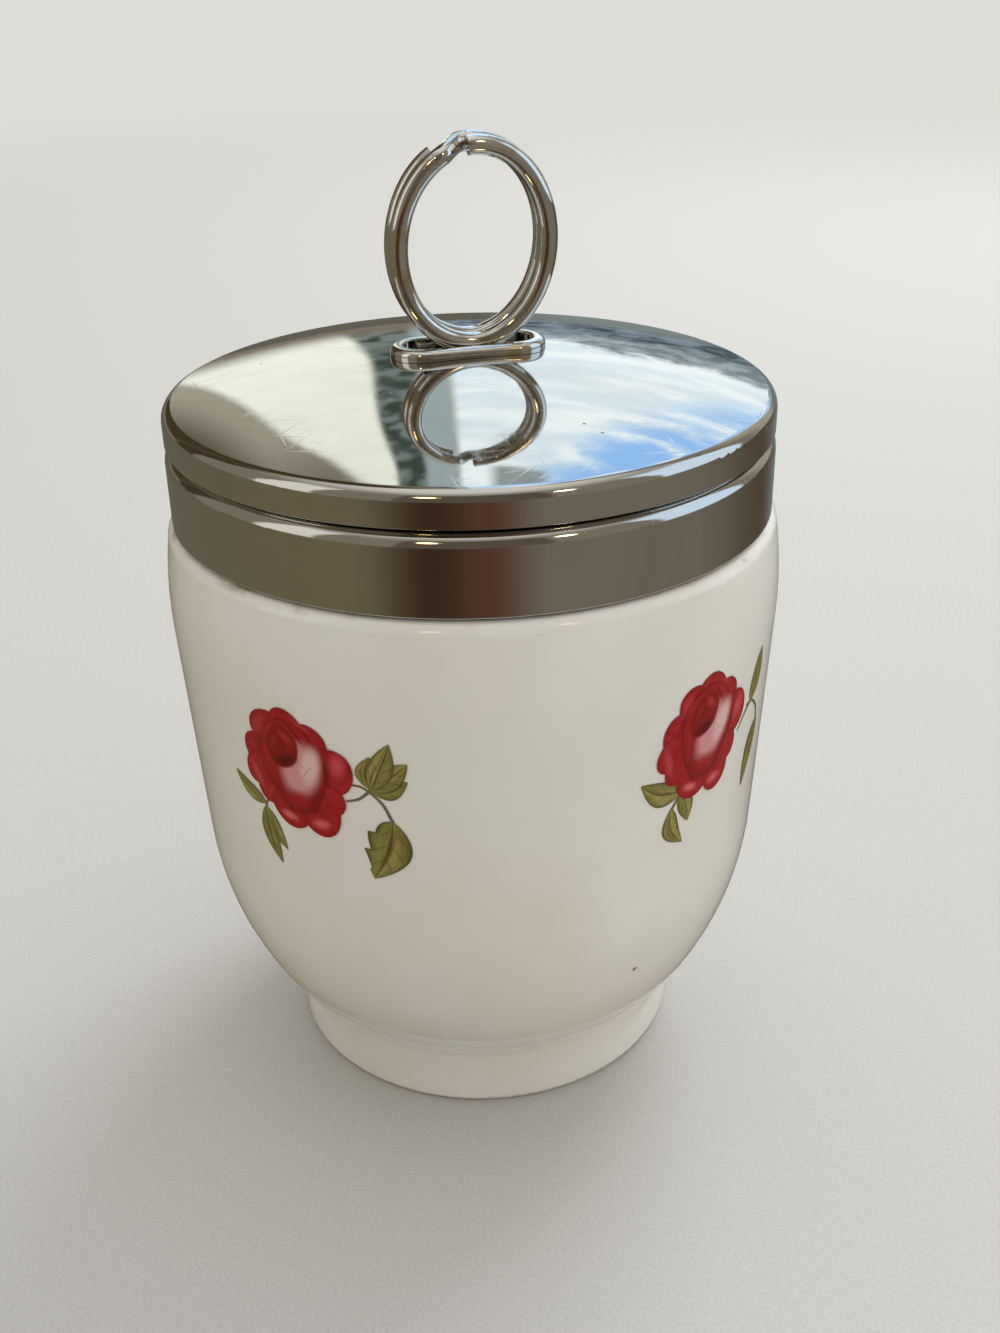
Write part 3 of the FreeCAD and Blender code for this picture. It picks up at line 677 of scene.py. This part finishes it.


# Painted reflection: tones for the metal bands to mirror. They stand in for the worktop round the
# foot, which is shaded at the right and lit by the window behind, and for a dark thing and a reddish
# thing in front.
PAINTED_REFLECTION_LEFT, PAINTED_REFLECTION_RIGHT, PAINTED_REFLECTION_BACK = colour(98, 90, 70), colour(104, 98, 86), colour(86, 84, 74)
PAINTED_REFLECTION_PARTS = [  # degrees round from the front where it begins, is full, fades and is gone, colour
    (80, 126, 128, 166, (75, 65, 50)),      # shade at the right
    (126, 166, 174, 180, (112, 120, 120)),  # light from the window, behind
    (-24, -8, 5, 26, (80, 54, 42)),         # something reddish in front
    (-42, -14, -13, 5, (56, 40, 28)),       # something dark beside it
]
REFLECTION_SHEET_INNER, REFLECTION_SHEET_OUTER, REFLECTION_SHEET_Z = 0.024, 4.5, 0.001
REFLECTION_SHEET_SIDES = 96


def make_reflection_sheet():
    """A glowing sheet round the foot that only reflections see: a painted reflection of the worktop
    in light and shade, for the bands to mirror.
    """
    mesh = bpy.data.meshes.new("reflection_sheet")
    points, faces = [], []
    for radius in (REFLECTION_SHEET_INNER, REFLECTION_SHEET_OUTER):
        for side in range(REFLECTION_SHEET_SIDES):
            turn = 2 * math.pi * side / REFLECTION_SHEET_SIDES
            points.append((radius * math.cos(turn), radius * math.sin(turn), REFLECTION_SHEET_Z))
    for side in range(REFLECTION_SHEET_SIDES):
        following = (side + 1) % REFLECTION_SHEET_SIDES
        faces.append((side, following, REFLECTION_SHEET_SIDES + following, REFLECTION_SHEET_SIDES + side))
    mesh.from_pydata(points, [], faces)
    reflection_sheet = new_object("reflection_sheet", mesh)
    for ray in ("camera", "diffuse", "shadow", "transmission", "volume_scatter"):
        setattr(reflection_sheet, "visible_" + ray, False)
    material, shader = new_material("reflection_sheet")
    # the sheet glows with these tones though it is no lamp, and it is seen only as painted reflection
    # in the metal
    x, y = shader.split(shader.object_place())[:2]
    turn = shader.times(shader.maths("ARCTAN2", x, shader.times(y, -1.0)), math.degrees(1.0))
    tone = shader.mix(shader.span(turn, -30, 30), PAINTED_REFLECTION_LEFT, PAINTED_REFLECTION_RIGHT)
    tone = shader.mix(shader.span(shader.maths("ABSOLUTE", turn), 60, 180), tone, PAINTED_REFLECTION_BACK)
    for begins, full, fades, gone, shade in PAINTED_REFLECTION_PARTS:
        part = shader.times(shader.span(turn, begins, full), shader.span(turn, gone, fades))
        tone = shader.mix(part, tone, colour(*shade))
    shader.end(shader.glow(tone, GLOSS_STRENGTH))
    mesh.materials.append(material)


# What reflections see is drawn by direction. turn is in degrees from the back, positive to the
# right as the camera looks, and rise in degrees up.
BLIND_LEAN = 0.02007        # degrees that the blind's edge moves for each squared degree of height
ROOM_STRIPS = [  # pale and dark parts of the room: from and to in degrees of turn, colour
    (-122, -98, (206, 203, 194)), (68, 110, (196, 215, 232)), (152, 184, (82, 74, 62)),
    (-184, -152, (82, 74, 62)), (-64, -50, (60, 50, 38)),
]
ROOM_LAMPS = [  # degrees round from the front, degrees up, colour
    (-18, 34, (255, 214, 150)), (36, 36, (255, 222, 168)),
]
LAMP_GAIN = 6.0             # how much brighter than the room the lamps are
LIGHT_SIDE = Vector((0.62, 0.58, 0.53)).normalized()
DIM, BRIGHT = 0.48, 1.28    # strength of the light away from that side and on it


def view_outside(shader, way, turn, rise):
    """Thin cloud with blue showing through, over a ragged line of roofs and trees."""
    cloud = shader.noise(shader.stretch(way, (3.0, 3.0, 9.0)), 3.0, 4.0, 0.6)
    depth = shader.plus(turn, shader.times(shader.plus(rise, -38), 0.55))
    blue = shader.times(shader.span(depth, 7, 16), shader.span(cloud, 0.66, 0.42))
    sky = shader.mix(shader.span(cloud, 0.4, 0.65), colour(214, 230, 238), colour(236, 245, 247))
    sky = shader.mix(blue, sky, colour(142, 190, 242))
    trees = shader.noise(shader.stretch(way, (30.0, 30.0, 34.0)), 1.0, 3.0, 0.65)
    land = shader.mix(shader.span(trees, 0.40, 0.62), colour(62, 74, 82), colour(122, 137, 147))
    slates = shader.noise(shader.stretch(way, (44.0, 44.0, 40.0)), 1.0, 3.0, 0.65)
    roofs = shader.mix(shader.span(slates, 0.40, 0.60), colour(118, 131, 137), colour(164, 178, 183))
    land = shader.mix(shader.span(rise, 4.5, 9, 0.0, 0.85), land, roofs)
    land = shader.mix(shader.span(rise, 2, -3, 0.0, 0.6), land, colour(124, 133, 136))
    skyline = shader.plus(shader.span(turn, 3, 10, 6.0, 9.3), shader.times(trees, 7.0))
    above = shader.plus(rise, shader.times(skyline, -1.0))
    return shader.mix(shader.span(above, -0.8, 0.8), land, sky)


def window_wall(shader, way, turn, rise):
    """What the lid mirrors from behind the object: a bright blind, a dark frame, and a sky."""
    wall = shader.mix(shader.span(turn, -22.5, -17.5), colour(60, 51, 32), colour(150, 146, 130))
    wall = shader.mix(shader.span(rise, 30, 46, 0.0, 0.6), wall, colour(60, 50, 32))
    # the blind's left edge leans over towards its top, and its right edge leans the other way
    over = shader.maths("MAXIMUM", shader.plus(rise, -29), 0.0)
    left_turn = shader.plus(turn, shader.times(over, over, -BLIND_LEAN))
    right_turn = shader.plus(turn, shader.span(rise, 14, 38, -2.2, -0.4))
    blind = shader.times(shader.span(left_turn, -16.7, -15.7), shader.span(right_turn, -7.9, -8.9))
    slats = shader.noise(shader.stretch(way, (6.0, 6.0, 60.0)), 1.0, 2.0)
    cloth = shader.mix(slats, colour(222, 227, 214), colour(236, 240, 228))
    shade = shader.mix(blind, wall, cloth)
    shade = shader.mix(shader.between(turn, -5.5, -1.4, 0.5), shade, colour(148, 164, 166))
    lattice = shader.span(shader.noise(shader.stretch(way, (30.0, 30.0, 26.0)), 1.0, 2.0),
                          0.42, 0.6)
    bar = shader.mix(lattice, colour(56, 66, 60), colour(112, 124, 120))
    shade = shader.mix(shader.between(right_turn, -8.4, -5.3, 0.4), shade, bar)
    pane = shader.times(shader.span(turn, -1.7, -0.7), shader.span(turn, 40, 30))
    shade = shader.mix(pane, shade, view_outside(shader, way, turn, rise))
    branch = shader.times(shader.between(turn, 2.5, 8.5, 1.0), shader.between(rise, 44.3, 47.0, 0.5))
    return shader.mix(shader.times(branch, 0.75), shade, colour(72, 88, 82))


def room_picture(shader, way, turn, rise):
    """The whole room round the object, with its window."""
    room = shader.mix(shader.span(rise, -25, 10), colour(104, 96, 82), colour(116, 108, 95))
    upright = shader.between(rise, -2, 48, 6)
    for low, high, shade in ROOM_STRIPS:
        strip = shader.between(turn, low, high, 2)
        room = shader.mix(shader.times(strip, upright), room, colour(*shade))
    room = shader.mix(shader.span(rise, 40, 78), room, colour(196, 194, 188))
    # the blind ends at the sill, and the open window shows what is lower too
    outdoors = shader.span(turn, -2.2, -0.6, 0.0, 9)
    glazing = shader.times(shader.span(shader.plus(rise, outdoors), 0.0, 8.5),
                           shader.span(rise, 80, 68),
                           shader.span(shader.maths("ABSOLUTE", turn), 62, 44))
    return shader.mix(glazing, room, window_wall(shader, way, turn, rise))


def make_world():
    """Soft light, stronger from the back right. Reflections see a room with a window behind."""
    world = bpy.data.worlds.new("studio")
    bpy.context.scene.world = world
    shader = Shader(world)
    way = shader.node("ShaderNodeTexCoord").outputs["Generated"]
    x, y, z = shader.split(way)
    turn = shader.times(shader.maths("ARCTAN2", x, y), math.degrees(1.0))
    rise = shader.times(shader.maths("ARCSINE", z), math.degrees(1.0))
    picture = room_picture(shader, way, turn, rise)
    lit = 0.0
    for azimuth, height, shade in ROOM_LAMPS:
        azimuth, height = math.radians(azimuth), math.radians(height)
        spot = Vector((math.sin(azimuth) * math.cos(height), -math.cos(azimuth) * math.cos(height),
                       math.sin(height)))
        lamp = shader.span(shader.distance(way, spot), 0.075, 0.045)
        picture = shader.mix(lamp, picture, colour(*shade))
        lit = shader.plus(lit, lamp)
    strength = shader.times(GLOSS_STRENGTH, shader.plus(1.0, shader.times(LAMP_GAIN, lit)))
    background = "ShaderNodeBackground"
    mirrored = shader.glow(picture, strength, background)
    side = shader.node("ShaderNodeVectorMath", {0: way, 1: LIGHT_SIDE}, operation="DOT_PRODUCT")
    share = shader.span(side.outputs["Value"], -1.0, 1.0)
    tint = shader.mix(share, colour(255, 247, 234), colour(247, 250, 255))
    light = shader.glow(tint, shader.plus(DIM, shader.times(share, BRIGHT - DIM)), background)
    rays = shader.node("ShaderNodeLightPath").outputs
    seen = shader.choose(rays["Is Glossy Ray"], light, mirrored)
    seen = shader.choose(rays["Is Camera Ray"], seen, shader.glow(BACKDROP, 1.0, background))
    shader.end(seen, "ShaderNodeOutputWorld")


def add_panel(name, place, target, size, watts, tint):
    """A soft rectangular lamp aimed at a point. Reflections show the world's window, not the lamp."""
    data = bpy.data.lights.new(name, "AREA")
    data.shape = "RECTANGLE"
    data.size, data.size_y = size
    data.energy = watts
    data.color = tint[:3]
    lamp = new_object(name, data)
    lamp.location = place
    lamp.rotation_mode = "QUATERNION"
    lamp.rotation_quaternion = (Vector(target) - Vector(place)).to_track_quat("-Z", "Y")
    lamp.visible_glossy = False


make_floor()
make_reflection_sheet()
make_world()
add_panel("window_light", (0.40, 0.62, 0.62), (0, 0, 0.04), (0.5, 0.4), 5.0, colour(246, 249, 255))
bpy.context.scene.view_settings.view_transform = "Standard"
